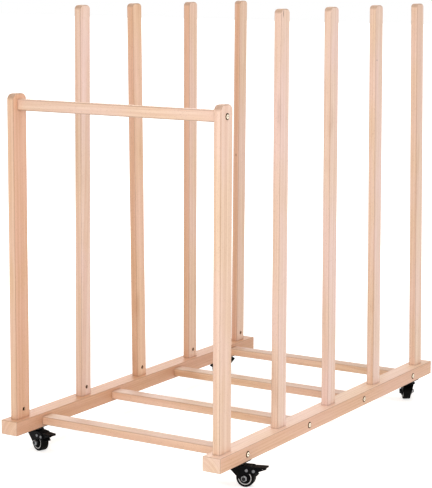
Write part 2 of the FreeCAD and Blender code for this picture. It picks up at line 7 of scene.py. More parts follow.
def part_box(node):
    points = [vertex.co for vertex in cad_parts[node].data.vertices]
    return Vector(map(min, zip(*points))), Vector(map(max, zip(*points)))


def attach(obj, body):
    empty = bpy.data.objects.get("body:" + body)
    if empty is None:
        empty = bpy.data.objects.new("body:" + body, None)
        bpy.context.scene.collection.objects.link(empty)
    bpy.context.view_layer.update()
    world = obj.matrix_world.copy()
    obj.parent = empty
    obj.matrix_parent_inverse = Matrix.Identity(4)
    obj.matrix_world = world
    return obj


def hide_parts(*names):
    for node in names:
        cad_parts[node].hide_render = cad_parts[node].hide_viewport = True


# Drying rack of beech sticks on four braked casters: looks, light and camera round the CAD model.
# Metres, +X right, +Y to the rear, +Z up, origin on the floor.

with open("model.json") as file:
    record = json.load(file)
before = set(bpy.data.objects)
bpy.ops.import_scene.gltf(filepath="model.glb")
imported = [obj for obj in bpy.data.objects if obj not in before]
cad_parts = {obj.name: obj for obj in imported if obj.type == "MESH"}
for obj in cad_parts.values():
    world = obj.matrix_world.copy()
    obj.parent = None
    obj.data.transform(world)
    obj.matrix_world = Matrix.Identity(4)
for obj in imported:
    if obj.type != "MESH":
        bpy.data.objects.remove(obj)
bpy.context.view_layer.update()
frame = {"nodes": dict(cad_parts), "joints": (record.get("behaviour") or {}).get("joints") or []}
nodes = frame["nodes"]
print("frame loaded,", len(nodes), "CAD nodes")


def linear(hexColour):
    channels = [int(hexColour[i:i + 2], 16) / 255 for i in (0, 2, 4)]
    return [c / 12.92 if c <= 0.04045 else ((c + 0.055) / 1.055) ** 2.4 for c in channels] + [1]


def addNode(tree, kind, settings={}, values={}, links={}):
    node = tree.nodes.new(kind)
    for key, value in settings.items():
        setattr(node, key, value)
    for key, value in values.items():
        node.inputs[key].default_value = value
    for key, source in links.items():
        tree.links.new(source, node.inputs[key])
    return node


def fromTo(spread, most=1):
    # stretches a part of a texture's range to run from 0 to most
    return {"From Min": spread[0], "From Max": spread[1], "To Max": most}


def newMaterial(name):
    material = bpy.data.materials.new(name)
    material.use_nodes = True
    material.node_tree.nodes.clear()
    return material, material.node_tree


# beech sticks: sizes are in metres, parts run from 0, none, to 1, full, and a spread is where a
# texture begins to count and where it counts in full
beech = {
    "light": "F6E0D0",        # early wood
    "dark": "DDB99F",         # the deeper bands
    "line": "C48A5C",         # thin late wood line
    "streak": "B98660",       # mineral streak
    "fleck": "9C6B48",        # ray fleck
    "mark": "6E4428",         # knots, stains and cracks
    "edge": "9C7A62",         # painted shade on the rounded arrises, greyer
    "paintedEdgePart": 0.58,
    "paintedEdgeSpread": (0.98, 0.6),      # of flatness
    "endSpread": (0.2, 0.9),        # of how far a face looks along the stick
    "bandWidth": 0.011,       # growth in good and bad years shows as soft bands
    "bandPart": 0.44,
    "bandSpread": (0.3, 0.7),
    "lineSpacing": 0.0046,    # real rings are 2 to 3 mm, drawn coarser so that they show
    "linePart": 0.24,
    "lineSpread": (0.45, 1.0),      # of a year
    "wander": 0.010,          # how far the rings stray along a board
    "wanderDensity": 9,       # strays to a metre across the board
    "wanderStretch": 0.22,    # and their share of that along it
    "fibreWidth": 0.0018,     # bundles of fibres, real ones are under 1 mm
    "fibreLength": 0.14,
    "fibrePart": 0.30,
    "fibreSpread": (0.3, 0.7),
    "fleckWidth": 0.0007,
    "fleckLength": 0.0045,
    "fleckPart": 0.45,
    "fleckSpread": (0.64, 0.74),
    "patchSize": 0.07,        # pinker and yellower patches, long along the board
    "patchLength": 0.24,
    "patchSpread": (0.35, 0.65),
    "pinker": (1.005, 0.948, 0.985, 1),
    "yellower": (0.995, 0.955, 0.90, 1),
    "streakPart": 0.5,
    "streakSpread": (0.62, 0.80),
    "markRagged": 0.7,        # how far the fibres fray a mark's outline
    "markSpread": (1.3, 0.6),       # of a mark's half sizes
    "crevice": 0.005,         # how far the painted shade reaches out of a joint
    "paintedCreviceShade": 0.68,
    "creviceSpread": (0.35, 0.95),  # of how open the place is
    "roughness": 0.42,
    "glossier": 0.06,         # how far the fibres lower the roughness
    "duller": 0.12,           # and how far they raise it
    "relief": 0.00010,
    "reliefPart": 0.5,
}
# tints for the boards' faces: partly the wood's own tone, partly painted light and shade that makes a
# face lighter or darker as the light fell on it
toneAndShade = {
    "pale": "FFFCF6",
    "pink": "FCFAFC",
    "fair": "FAF5EE",
    "honey": "FAEEDE",
    "tan": "F0DBC8",
    "shadedGrey": "E2DAD0",        # painted shade with a grey sheen, darker and a little grey, for rung tops and stick ends
    # deeper: the left rail's own tone with painted shade on it
    "deep": "E0C6AE",
}
# marks of some boards' own: where, half sizes along X, Y and Z, how dark
marks = {
    "post_left_5": [((-0.2901, 0.4985, 0.657), (0.0021, 0.004, 0.0060), 0.9)],       # pin knot
    "post_right_4": [((0.2955, 0.2393, 0.9665), (0.004, 0.0042, 0.0030), 0.6)],      # pin knot
    "post_right_2": [((0.2990, -0.2855, 0.866), (0.0090, 0.012, 0.065), 0.14),       # stain
                     ((0.3033, -0.2760, 1.099), (0.008, 0.0019, 0.014), 0.95)],      # drying crack
}
quarter = math.pi / 2
grainTurn = {"x": (0, quarter, 0), "y": (-quarter, 0, 0), "z": (0, 0, 0)}
axes = {"x": (1, 0, 0), "y": (0, 1, 0), "z": (0, 0, 1)}
sideOf = {"x": "z", "y": "x", "z": "x"}       # a stick's second face looks to the + side of this


def layBoard(tree, place, along, middle, pith, lean):
    # places in the board as it was sawn: Z runs with the grain, and the heart of the tree is at 0
    base = Matrix.Identity(3)
    for angle, axis in zip(grainTurn[along], "XYZ"):
        base = Matrix.Rotation(angle, 3, axis) @ base
    turn = Matrix.Rotation(lean, 3, "Y" if along == "z" else "Z")
    heart = middle + base @ Vector((pith[0], pith[1], 0))
    return addNode(tree, "ShaderNodeMapping", {"vector_type": "TEXTURE"},
                   {"Location": heart, "Rotation": (turn @ base).to_euler()},
                   {"Vector": place.outputs["Object"]})


def measureRings(tree, board):
    # distance from the heart, straying a little along the board
    across = addNode(tree, "ShaderNodeVectorMath", {"operation": "MULTIPLY"}, {1: (1, 1, 0)},
                     {0: board.outputs["Vector"]})
    radius = addNode(tree, "ShaderNodeVectorMath", {"operation": "LENGTH"}, {},
                     {0: across.outputs[0]})
    slowFlow = addNode(tree, "ShaderNodeMapping", {}, {"Scale": (1, 1, beech["wanderStretch"])},
                       {"Vector": board.outputs["Vector"]})
    drift = addNode(tree, "ShaderNodeTexNoise", {},
                    {"Scale": beech["wanderDensity"], "Detail": 2, "Roughness": 0.5},
                    {"Vector": slowFlow.outputs["Vector"]})
    return addNode(tree, "ShaderNodeMath", {"operation": "MULTIPLY_ADD"}, {1: beech["wander"]},
                   {0: drift.outputs["Fac"], 2: radius.outputs["Value"]})


def growFibres(tree, board):
    # fibres run with the board
    fibreFlow = addNode(tree, "ShaderNodeMapping", {},
                        {"Scale": (1, 1, beech["fibreWidth"] / beech["fibreLength"])},
                        {"Vector": board.outputs["Vector"]})
    return addNode(tree, "ShaderNodeTexNoise", {},
                   {"Scale": 1 / beech["fibreWidth"], "Detail": 3, "Roughness": 0.6},
                   {"Vector": fibreFlow.outputs["Vector"]})


def growPatches(tree, board):
    # the board changes slowly along its length
    patchFlow = addNode(tree, "ShaderNodeMapping", {},
                        {"Scale": (1, 1, beech["patchSize"] / beech["patchLength"])},
                        {"Vector": board.outputs["Vector"]})
    return addNode(tree, "ShaderNodeTexNoise", {},
                   {"Scale": 1 / beech["patchSize"], "Detail": 2, "Roughness": 0.5},
                   {"Vector": patchFlow.outputs["Vector"]})


def growWood(tree, rings, fibres):
    # soft bands of growth under the fibres
    bands = addNode(tree, "ShaderNodeTexNoise", {"noise_dimensions": "1D"},
                    {"Scale": 1 / beech["bandWidth"], "Detail": 3, "Roughness": 0.6},
                    {"W": rings.outputs[0]})
    bandTone = addNode(tree, "ShaderNodeMapRange", {"interpolation_type": "SMOOTHSTEP"},
                       fromTo(beech["bandSpread"], beech["bandPart"]),
                       {"Value": bands.outputs["Fac"]})
    fibreTone = addNode(tree, "ShaderNodeMapRange", {},
                        fromTo(beech["fibreSpread"], beech["fibrePart"]),
                        {"Value": fibres.outputs["Fac"]})
    grain = addNode(tree, "ShaderNodeMath", {"operation": "ADD", "use_clamp": True}, {},
                    {0: bandTone.outputs["Result"], 1: fibreTone.outputs["Result"]})
    return addNode(tree, "ShaderNodeMix", {"data_type": "RGBA"},
                   {6: linear(beech["light"]), 7: linear(beech["dark"])},
                   {"Factor": grain.outputs[0]})


def drawLines(tree, rings, patchTone, wood):
    # thin lines of late wood, one to a year, that come and go with the patches
    years = addNode(tree, "ShaderNodeMath", {"operation": "MULTIPLY"},
                    {1: 1 / beech["lineSpacing"]}, {0: rings.outputs[0]})
    year = addNode(tree, "ShaderNodeMath", {"operation": "FRACT"}, {}, {0: years.outputs[0]})
    lineTone = addNode(tree, "ShaderNodeMapRange", {"interpolation_type": "SMOOTHSTEP"},
                       fromTo(beech["lineSpread"], beech["linePart"]),
                       {"Value": year.outputs[0]})
    linePart = addNode(tree, "ShaderNodeMath", {"operation": "MULTIPLY"}, {},
                       {0: lineTone.outputs["Result"], 1: patchTone.outputs["Result"]})
    return addNode(tree, "ShaderNodeMix", {"data_type": "RGBA"}, {7: linear(beech["line"])},
                   {"Factor": linePart.outputs[0], 6: wood.outputs[2]})


def drawFlecks(tree, board, wood):
    # rays show as short brown flecks
    fleckFlow = addNode(tree, "ShaderNodeMapping", {},
                        {"Scale": (1, 1, beech["fleckWidth"] / beech["fleckLength"])},
                        {"Vector": board.outputs["Vector"]})
    flecks = addNode(tree, "ShaderNodeTexNoise", {},
                     {"Scale": 1 / beech["fleckWidth"], "Detail": 1, "Roughness": 0.4},
                     {"Vector": fleckFlow.outputs["Vector"]})
    fleckTone = addNode(tree, "ShaderNodeMapRange", {},
                        fromTo(beech["fleckSpread"], beech["fleckPart"]),
                        {"Value": flecks.outputs["Fac"]})
    return addNode(tree, "ShaderNodeMix", {"data_type": "RGBA"}, {7: linear(beech["fleck"])},
                   {"Factor": fleckTone.outputs["Result"], 6: wood.outputs[2]})


def drawMarks(tree, place, name, fibres, wood):
    # knots, stains and cracks, ragged along the fibres
    for spot, halfSizes, depth in marks.get(name, []):
        around = addNode(tree, "ShaderNodeMapping", {"vector_type": "TEXTURE"},
                         {"Location": spot, "Scale": halfSizes}, {"Vector": place.outputs["Object"]})
        offCentre = addNode(tree, "ShaderNodeVectorMath", {"operation": "LENGTH"}, {},
                            {0: around.outputs["Vector"]})
        ragged = addNode(tree, "ShaderNodeMath", {"operation": "MULTIPLY_ADD"},
                         {1: beech["markRagged"]},
                         {0: fibres.outputs["Fac"], 2: offCentre.outputs["Value"]})
        markPart = addNode(tree, "ShaderNodeMapRange", {"interpolation_type": "SMOOTHSTEP"},
                           fromTo(beech["markSpread"], depth), {"Value": ragged.outputs[0]})
        wood = addNode(tree, "ShaderNodeMix", {"data_type": "RGBA"}, {7: linear(beech["mark"])},
                       {"Factor": markPart.outputs["Result"], 6: wood.outputs[2]})
    return wood


def tintPatches(tree, patches, patchTone, wood):
    # pinker and yellower parts, and where they are strongest a brown streak
    hue = addNode(tree, "ShaderNodeMix", {"data_type": "RGBA"},
                  {6: beech["pinker"], 7: beech["yellower"]},
                  {"Factor": patchTone.outputs["Result"]})
    patched = addNode(tree, "ShaderNodeMix", {"data_type": "RGBA", "blend_type": "MULTIPLY"},
                      {"Factor": 1}, {6: wood.outputs[2], 7: hue.outputs[2]})
    streakTone = addNode(tree, "ShaderNodeMapRange", {"interpolation_type": "SMOOTHSTEP"},
                         fromTo(beech["streakSpread"], beech["streakPart"]),
                         {"Value": patches.outputs["Fac"]})
    return addNode(tree, "ShaderNodeMix", {"data_type": "RGBA"}, {7: linear(beech["streak"])},
                   {"Factor": streakTone.outputs["Result"], 6: patched.outputs[2]})


def tintFacesAndShade(tree, place, along, look, wood):
    # the board's tint, the one on its second face, and the one of its end grain: painted light and
    # shade over the board's own tone, each face lighter or darker as the light fell on it
    faceShadedWood, sideShadedWood, endShadedWood = [
        addNode(tree, "ShaderNodeMix", {"data_type": "RGBA", "blend_type": "MULTIPLY"},
                {"Factor": 1, 7: linear(toneAndShade[cut])}, {6: wood.outputs[2]})
        for cut in look]
    side = addNode(tree, "ShaderNodeVectorMath", {"operation": "DOT_PRODUCT"},
                   {1: axes[sideOf[along]]}, {0: place.outputs["Normal"]})
    sidePart = addNode(tree, "ShaderNodeMath", {"operation": "MAXIMUM"}, {1: 0},
                       {0: side.outputs["Value"]})
    sideShaded = addNode(tree, "ShaderNodeMix", {"data_type": "RGBA"}, {},
                    {"Factor": sidePart.outputs[0], 6: faceShadedWood.outputs[2], 7: sideShadedWood.outputs[2]})
    facing = addNode(tree, "ShaderNodeVectorMath", {"operation": "DOT_PRODUCT"}, {1: axes[along]},
                     {0: place.outputs["Normal"]})
    eitherEnd = addNode(tree, "ShaderNodeMath", {"operation": "ABSOLUTE"}, {},
                        {0: facing.outputs["Value"]})
    endPart = addNode(tree, "ShaderNodeMapRange", {"interpolation_type": "SMOOTHSTEP"},
                      fromTo(beech["endSpread"]), {"Value": eitherEnd.outputs[0]})
    return addNode(tree, "ShaderNodeMix", {"data_type": "RGBA"}, {},
                   {"Factor": endPart.outputs["Result"], 6: sideShaded.outputs[2], 7: endShadedWood.outputs[2]})


def paintEdgeShade(tree, place, wood):
    # painted shade: the rounded edges are made darker and greyer, standing for the dull reflection they
    # catch; they are where a stick's face looks along none of its axes
    squared = addNode(tree, "ShaderNodeVectorMath", {"operation": "MULTIPLY"}, {},
                      {0: place.outputs["Normal"], 1: place.outputs["Normal"]})
    flatness = addNode(tree, "ShaderNodeVectorMath", {"operation": "DOT_PRODUCT"}, {},
                       {0: squared.outputs[0], 1: squared.outputs[0]})
    paintedEdgePart = addNode(tree, "ShaderNodeMapRange", {}, fromTo(beech["paintedEdgeSpread"], beech["paintedEdgePart"]),
                       {"Value": flatness.outputs["Value"]})
    return addNode(tree, "ShaderNodeMix", {"data_type": "RGBA"}, {7: linear(beech["edge"])},
                   {"Factor": paintedEdgePart.outputs["Result"], 6: wood.outputs[2]})


def shadeCrevices(tree, wood):
    # painted shade: joints and drilled holes are darkened where ambient occlusion finds them closed in
    nearby = addNode(tree, "ShaderNodeAmbientOcclusion", {"samples": 8}, {"Distance": beech["crevice"]})
    openness = addNode(tree, "ShaderNodeMapRange", {},
                       {**fromTo(beech["creviceSpread"]), "To Min": beech["paintedCreviceShade"]},
                       {"Value": nearby.outputs["AO"]})
    return addNode(tree, "ShaderNodeMix", {"data_type": "RGBA", "blend_type": "MULTIPLY"},
                   {"Factor": 1}, {6: wood.outputs[2], 7: openness.outputs["Result"]})


def makeBeech(name, along, middle, pith, lean, look):
    # sanded beech under a thin clear varnish: pale, pinkish, straight grained, half matt
    material, tree = newMaterial("beech_" + name)
    place = addNode(tree, "ShaderNodeTexCoord")
    board = layBoard(tree, place, along, middle, pith, lean)
    rings = measureRings(tree, board)
    fibres = growFibres(tree, board)
    patches = growPatches(tree, board)
    patchTone = addNode(tree, "ShaderNodeMapRange", {"interpolation_type": "SMOOTHSTEP"},
                        fromTo(beech["patchSpread"]), {"Value": patches.outputs["Fac"]})
    wood = growWood(tree, rings, fibres)
    wood = drawLines(tree, rings, patchTone, wood)
    wood = drawFlecks(tree, board, wood)
    wood = drawMarks(tree, place, name, fibres, wood)
    wood = tintPatches(tree, patches, patchTone, wood)
    wood = tintFacesAndShade(tree, place, along, look, wood)
    wood = paintEdgeShade(tree, place, wood)
    wood = shadeCrevices(tree, wood)
    shine = addNode(tree, "ShaderNodeMapRange", {},
                    {"To Min": beech["roughness"] - beech["glossier"],
                     "To Max": beech["roughness"] + beech["duller"]},
                    {"Value": fibres.outputs["Fac"]})
    relief = addNode(tree, "ShaderNodeBump", {},
                     {"Strength": beech["reliefPart"], "Distance": beech["relief"]},
                     {"Height": fibres.outputs["Fac"]})
    skin = addNode(tree, "ShaderNodeBsdfPrincipled", {}, {"IOR": 1.5},
                   {"Base Color": wood.outputs[2], "Roughness": shine.outputs["Result"],
                    "Normal": relief.outputs["Normal"]})
    addNode(tree, "ShaderNodeOutputMaterial", {}, {}, {"Surface": skin.outputs["BSDF"]})
    return material


# one board each: the way it runs, where its heart lay in mm off its middle, lean of the grain in
# degrees, and the tints of its faces, of its second face and of its ends: the board's own tone with
# painted light and shade on each face
boards = {
    "base_rail_left": ("y", (52, 34), 0.5, ("deep", "deep", "honey")),
    "base_rail_right": ("y", (-47, 61), -0.4, ("fair", "tan", "pale")),
    "rung_1": ("x", (22, 58), 0.8, ("honey", "shadedGrey", "shadedGrey")),
    "rung_2": ("x", (-31, 44), -0.9, ("honey", "shadedGrey", "shadedGrey")),
    "rung_3": ("x", (40, -38), 0.6, ("honey", "shadedGrey", "shadedGrey")),
    "rung_4": ("x", (-18, 66), -0.5, ("honey", "shadedGrey", "shadedGrey")),
    "post_left_1": ("z", (37, 62), 0.3, ("honey", "tan", "shadedGrey")),
    "post_left_2": ("z", (-66, 24), -0.4, ("fair", "pink", "shadedGrey")),
    "post_left_3": ("z", (28, -57), 0.5, ("tan", "honey", "shadedGrey")),
    "post_left_4": ("z", (-43, -51), -0.2, ("tan", "fair", "shadedGrey")),
    "post_left_5": ("z", (71, 18), 0.4, ("tan", "fair", "shadedGrey")),
    "post_right_1": ("z", (-58, 33), -0.3, ("pale", "fair", "shadedGrey")),
    "post_right_2": ("z", (49, -62), 0.4, ("pink", "pink", "shadedGrey")),
    "post_right_3": ("z", (-24, 73), -0.5, ("pink", "pink", "shadedGrey")),
    "post_right_4": ("z", (64, 41), 0.2, ("fair", "pink", "shadedGrey")),
    "post_right_5": ("z", (-72, -20), -0.3, ("fair", "fair", "shadedGrey")),
    "push_bar": ("x", (26, -60), 0.4, ("fair", "fair", "shadedGrey")),
    "wood_dowels": ("z", (50, 40), 0.0, ("honey", "honey", "honey")),
    "push_bar_dowels": ("x", (50, 40), 0.0, ("honey", "honey", "honey")),
}
for name, (along, pith, lean, look) in boards.items():
    low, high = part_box(name)
    heartOff = [value / 1000 for value in pith]
    material = makeBeech(name, along, (low + high) / 2, heartOff, math.radians(lean), look)
    nodes[name].data.materials.clear()
    nodes[name].data.materials.append(material)
print("beech on", len(boards), "sets of sticks and dowels")


# metals, plastic and rubber
coat = {
    "blotchSpread": (0.35, 0.7),
    "paintedEdgeSpread": (0.99, 0.8),      # of how flat the surface is within the edge's reach
    "glossier": 0.08,         # how far blotches lower the roughness
    "duller": 0.1,            # and how far they raise it
    "reliefPart": 0.5,
    "specular": 0.5,          # where a finish gives none of its own
}


def makeFinish(name, look):
    # one recipe for a solid finish: a base, a second tone in blotches, edges in another colour as
    # painted sheen and shade, fine relief
    material, tree = newMaterial(name)
    place = addNode(tree, "ShaderNodeTexCoord")
    blotches = addNode(tree, "ShaderNodeTexNoise", {},
                       {"Scale": 1 / look["blotch"], "Detail": 4, "Roughness": 0.6},
                       {"Vector": place.outputs["Object"]})
    amount = addNode(tree, "ShaderNodeMapRange", {}, fromTo(coat["blotchSpread"]),
                     {"Value": blotches.outputs["Fac"]})
    tinted = addNode(tree, "ShaderNodeMix", {"data_type": "RGBA"},
                     {6: linear(look["colour"]), 7: linear(look["second"])},
                     {"Factor": amount.outputs["Result"]})
    soft = addNode(tree, "ShaderNodeBevel", {"samples": 4}, {"Radius": look["edge"]})
    hard = addNode(tree, "ShaderNodeNewGeometry")
    bend = addNode(tree, "ShaderNodeVectorMath", {"operation": "DOT_PRODUCT"}, {},
                   {0: soft.outputs["Normal"], 1: hard.outputs["Normal"]})
    paintedEdgePart = addNode(tree, "ShaderNodeMapRange", {},
                       fromTo(coat["paintedEdgeSpread"], look["rub"]), {"Value": bend.outputs["Value"]})
    paintedEdgeColour = addNode(tree, "ShaderNodeMix", {"data_type": "RGBA"}, {7: linear(look["paintedEdgeColour"])},
                     {"Factor": paintedEdgePart.outputs["Result"], 6: tinted.outputs[2]})
    shine = addNode(tree, "ShaderNodeMapRange", {},
                    {"To Min": look["roughness"] - coat["glossier"],
                     "To Max": look["roughness"] + coat["duller"]},
                    {"Value": blotches.outputs["Fac"]})
    grit = addNode(tree, "ShaderNodeTexNoise", {}, {"Scale": 1 / look["grit"], "Detail": 2},
                   {"Vector": place.outputs["Object"]})
    relief = addNode(tree, "ShaderNodeBump", {},
                     {"Strength": coat["reliefPart"], "Distance": look["relief"]},
                     {"Height": grit.outputs["Fac"], "Normal": soft.outputs["Normal"]})
    skin = addNode(tree, "ShaderNodeBsdfPrincipled", {},
                   {"Metallic": look["metallic"],
                    "Specular IOR Level": look.get("specular", coat["specular"])},
                   {"Base Color": paintedEdgeColour.outputs[2], "Roughness": shine.outputs["Result"],
                    "Normal": relief.outputs["Normal"]})
    addNode(tree, "ShaderNodeOutputMaterial", {}, {}, {"Surface": skin.outputs["BSDF"]})
    return material


# colour, a second tone in blotches, and the edges' colour and part: a painted sheen that lightens the
# edges, on the brass faces a painted shade that darkens them; blotch, edge, grit and relief are sizes
# in metres; on plated metal the grit is drawn coarser than the real one, to show
finishes = {
    # brass on the bolt heads' flat faces, made near white and creamy: a painted highlight
    "brass_painted_highlight": {
        "colour": "F7EEDC", "second": "EADBBE", "paintedEdgeColour": "C2A57A", "rub": 0.5,
        "blotch": 0.004, "edge": 0.0005, "grit": 0.0006, "relief": 0.00001,
        "metallic": 1, "roughness": 0.22,
    },
    # dark brown brass round the heads' rims and down the shanks: painted shade, standing for the dark
    # ring of shade and reflection round each head
    "brass_painted_shade": {
        "colour": "553719", "second": "3A2410", "paintedEdgeColour": "6E4A28", "rub": 0.3,
        "blotch": 0.003, "edge": 0.0005, "grit": 0.0006, "relief": 0.00002,
        "metallic": 1, "roughness": 0.38,
    },
    # zinc plated steel: cool mid grey with a faint milky bloom
    "zinc_plate": {
        "colour": "A3A4A6", "second": "7C7E80", "paintedEdgeColour": "C6C7C8", "rub": 0.5,
        "blotch": 0.003, "edge": 0.0006, "grit": 0.0005, "relief": 0.00002,
        "metallic": 1, "roughness": 0.36,
    },
    # rivets through the fork, steel with a thin grey coat
    "rivet_steel": {
        "colour": "77787B", "second": "5A5B5D", "paintedEdgeColour": "929395", "rub": 0.5,
        "blotch": 0.003, "edge": 0.0006, "grit": 0.0005, "relief": 0.00002,
        "metallic": 1, "roughness": 0.3,
    },
    # blackened steel of the axles: dark grey, oily
    "blackened_steel": {
        "colour": "303032", "second": "202022", "paintedEdgeColour": "5A5A5B", "rub": 0.5,
        "blotch": 0.003, "edge": 0.0006, "grit": 0.0005, "relief": 0.00003,
        "metallic": 1, "roughness": 0.42,
    },
    # steel of the barrel nuts, dark brown
    "dark_brown_steel": {
        "colour": "4A2E18", "second": "331E0E", "paintedEdgeColour": "5E3F24", "rub": 0.3,
        "blotch": 0.003, "edge": 0.0006, "grit": 0.0005, "relief": 0.00003,
        "metallic": 1, "roughness": 0.6,
    },
    # black powder coat on pressed steel: deep black, half gloss, slight orange peel
    "black_powder_coat": {
        "colour": "040405", "second": "08080A", "paintedEdgeColour": "2A2A2E", "rub": 0.5,
        "blotch": 0.006, "edge": 0.0007, "grit": 0.0012, "relief": 0.00005,
        "metallic": 0, "roughness": 0.52, "specular": 0.055,
    },
    # moulded black nylon of the wheel's centre, matt and slightly mottled
    "black_nylon": {
        "colour": "060607", "second": "0C0C0D", "paintedEdgeColour": "1C1C1D", "rub": 0.4,
        "blotch": 0.004, "edge": 0.0008, "grit": 0.0009, "relief": 0.00004,
        "metallic": 0, "roughness": 0.5, "specular": 0.06,
    },
    # black rubber tread, dull, a little dusty
    "black_rubber": {
        "colour": "080707", "second": "11100F", "paintedEdgeColour": "181716", "rub": 0.4,
        "blotch": 0.005, "edge": 0.001, "grit": 0.0008, "relief": 0.00008,
        "metallic": 0, "roughness": 0.66, "specular": 0.05,
    },
    # satin trim ring let into the wheel's face, warm light grey
    "satin_trim": {
        "colour": "BDBAB9", "second": "A19F9E", "paintedEdgeColour": "DAD8D7", "rub": 0.4,
        "blotch": 0.003, "edge": 0.0003, "grit": 0.0005, "relief": 0.00001,
        "metallic": 1, "roughness": 0.4,
    },
}
materials = {name: makeFinish(name, look) for name, look in finishes.items()}
# a node takes the longest of these names that it starts with
finishOf = {
    "rung_bolts": "brass_painted_shade",
    "post_bolts": "brass_painted_shade",
    "push_bar_bolts": "brass_painted_shade",
    "cross_dowel_nuts": "dark_brown_steel",
    "caster_plates": "black_powder_coat",
    "caster_kingpins": "zinc_plate",
    "caster_balls": "zinc_plate",
    "caster_screws": "zinc_plate",
    "fork_rivets": "rivet_steel",
    "fork": "black_powder_coat",
    "axle_bolt": "blackened_steel",
    "axle_nut": "zinc_plate",
    "axle_bush": "black_nylon",
    "brake_lever": "black_powder_coat",
    "wheel_rim": "black_nylon",
    "tyre": "black_rubber",
}
for name, piece in nodes.items():
    if name in boards:
        continue
    kinds = [kind for kind in finishOf if name.startswith(kind)]
    if kinds:
        piece.data.materials.clear()
        piece.data.materials.append(materials[finishOf[max(kinds, key=len)]])
print("finishes on the hardware")


sameSpot = 0.000001           # corners nearer than this are one


# turned pieces stand on +Z while they are made, then each copy is laid in its own place
def turnedPiece(name, outline, sides=40, closed=False):
    # a circle drawn up through the outline's radii and heights; a closed one runs back to its start
    bpy.ops.object.select_all(action="DESELECT")
    radius, height = outline[0]
    bpy.ops.mesh.primitive_circle_add(vertices=sides, radius=radius, fill_type="NOTHING",
                                      location=(0, 0, 0))
    piece = bpy.context.object
    piece.name = name
    bpy.ops.object.mode_set(mode="EDIT")
    bpy.ops.mesh.select_all(action="SELECT")
    bpy.ops.transform.translate(value=(0, 0, height))
    if not closed:
        bpy.ops.mesh.edge_face_add()
    for nextRadius, nextHeight in outline[1:] + (outline[:1] if closed else []):
        bpy.ops.mesh.extrude_region()
        grow = nextRadius / radius
        bpy.ops.transform.resize(value=(grow, grow, 1), center_override=(0, 0, height))
        bpy.ops.transform.translate(value=(0, 0, nextHeight - height))
        radius, height = nextRadius, nextHeight
    bpy.ops.mesh.select_all(action="SELECT")
    bpy.ops.mesh.remove_doubles(threshold=sameSpot)
    bpy.ops.mesh.normals_make_consistent(inside=False)
    bpy.ops.object.mode_set(mode="OBJECT")
    return piece


def smoothed(piece, degrees=40):
    bpy.ops.object.select_all(action="DESELECT")
    piece.select_set(True)
    bpy.context.view_layer.objects.active = piece
    bpy.ops.object.shade_smooth_by_angle(angle=math.radians(degrees))


def laidCopy(piece, name, spot, direction, roll=0.0):
    # a copy with its own mesh, +Z turned to the direction, placed in the mesh itself
    copy = piece.copy()
    copy.data = piece.data.copy()
    copy.name = name
    bpy.context.collection.objects.link(copy)
    turn = Vector(direction).to_track_quat("Z", "Y").to_matrix().to_4x4()
    copy.data.transform(Matrix.Translation(spot) @ turn @ Matrix.Rotation(roll, 4, "Z"))
    return copy


# furniture bolts, heads let into shallow seats in the wood
bolt = {
    "headRadius": 0.0075,
    "faceRadius": 0.0052,     # the polished flat in the middle of the head
    "headHeight": 0.0024,
    "rimTop": 0.0012,         # the head's rim is upright up to about here, then slopes to the flat
    "rimRound": 0.0002,
    "shankRadius": 0.003,
    "tipChamfer": 0.0006,
    "socketFlats": 0.004,
    "socketDepth": 0.0016,
    "rungLength": 0.086,
    "barLength": 0.0525,
    "rungTurn": 0.5,          # each socket is turned this much further than the last, in radians
    "barTurn": 0.3,
}


def makeBolt(name, length):
    head, flat, top = bolt["headRadius"], bolt["faceRadius"], bolt["headHeight"]
    rim, small = bolt["rimTop"], bolt["rimRound"]
    shank, chamfer = bolt["shankRadius"], bolt["tipChamfer"]
    outline = [
        (shank - chamfer, -length), (shank, -length + chamfer), (shank, 0),
        (head - small, 0), (head, small), (head, rim - 2 * small), (head - small, rim),
        (head - 3.5 * small, rim + 2 * small), (flat + small, top - 2 * small),
        (flat, top - 1.5 * small), (flat * 0.75, top - 0.5 * small), (flat * 0.5, top),
    ]
    piece = turnedPiece(name, outline)
    # hexagon socket
    bpy.ops.mesh.primitive_cylinder_add(vertices=6, radius=bolt["socketFlats"] / math.sqrt(3),
                                        depth=2 * bolt["socketDepth"], location=(0, 0, top))
    cutter = bpy.context.object
    socket = piece.modifiers.new("socket", "BOOLEAN")
    socket.operation = "DIFFERENCE"
    socket.object = cutter
    bpy.context.view_layer.objects.active = piece
    bpy.ops.object.modifier_apply(modifier=socket.name)
    bpy.data.objects.remove(cutter)
    smoothed(piece)
    # the flat of the head gets the painted highlight, the rest the painted shade
    piece.data.materials.append(materials["brass_painted_shade"])
    piece.data.materials.append(materials["brass_painted_highlight"])
    for face in piece.data.polygons:
        onTop = face.center.z > rim and face.center.xy.length < flat
        face.material_index = 1 if onTop else 0
    return piece


rungBolt = makeBolt("rung_bolt", bolt["rungLength"])
barBolt = makeBolt("push_bar_bolt", bolt["barLength"])
low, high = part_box("rung_bolts")
headTop = bolt["headHeight"]
for number in range(1, 5):
    rungLow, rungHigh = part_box("rung_%d" % number)
    middle = (rungLow + rungHigh) / 2
    for sideName, side in (("left", -1), ("right", 1)):
        outer = high.x if side > 0 else low.x
        spot = (outer - side * headTop, middle.y, middle.z)
        copy = laidCopy(rungBolt, "rung_bolt_%s_%d" % (sideName, number), spot, (side, 0, 0),
                        bolt["rungTurn"] * number)
        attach(copy, "rack")
        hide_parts("rung_bolts")
low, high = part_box("push_bar_bolts")
middle = (low + high) / 2
for sideName, side in (("left", -1), ("right", 1)):
    spot = ((high.x if side > 0 else low.x) - side * headTop, middle.y, middle.z)
    copy = laidCopy(barBolt, "push_bar_bolt_" + sideName, spot, (side, 0, 0), bolt["barTurn"])
    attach(copy, "rack")
    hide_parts("push_bar_bolts")
